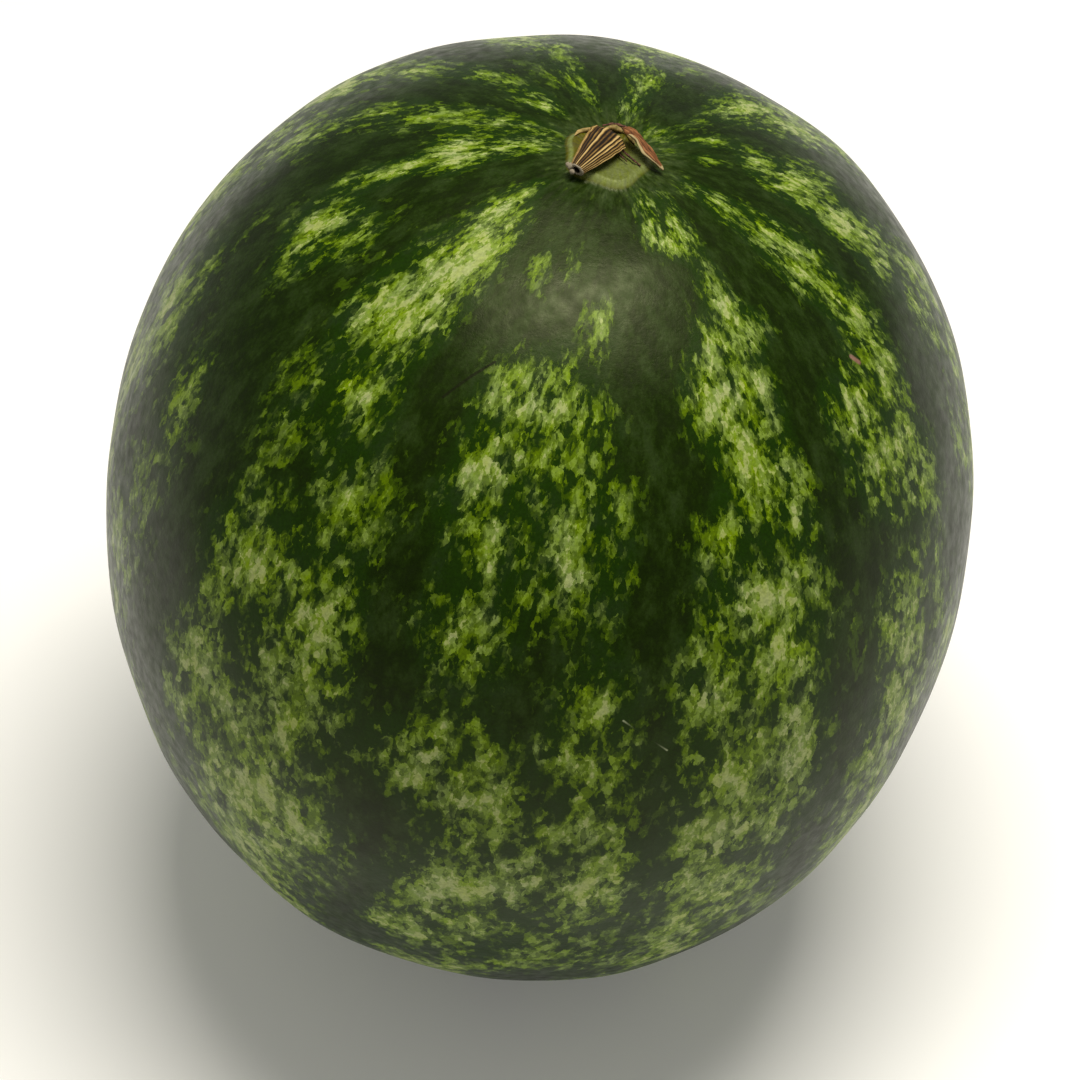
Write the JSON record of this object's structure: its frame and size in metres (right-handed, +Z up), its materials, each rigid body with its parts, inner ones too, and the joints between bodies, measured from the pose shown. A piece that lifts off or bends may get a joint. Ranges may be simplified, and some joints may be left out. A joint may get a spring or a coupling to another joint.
{
  "type": "watermelon",
  "caption": "Whole round striped watermelon with its dried, folded stem stub, resting blossom end down on a small flat spot.",
  "frame": {"origin": "on the ground under the middle of the fruit's box", "axes": "+Z up towards the stem end; the fruit's own axis leans from +Z towards +X; -Y is the front"},
  "size_m": [0.2134, 0.225, 0.2481],
  "materials": {
    "rind": "waxy green rind, near-black bands between broken stripes of light yellow-green mottles",
    "dry_stem": "dried stem, straw-coloured ribs with dark brown grooves",
    "dry_skin": "shrivelled reddish-brown skin with a pale edge"
  },
  "bodies": {
    "root": {"melon": "rind", "stem": "dry_stem", "stem_flap": "dry_skin"}
  },
  "joints": []
}
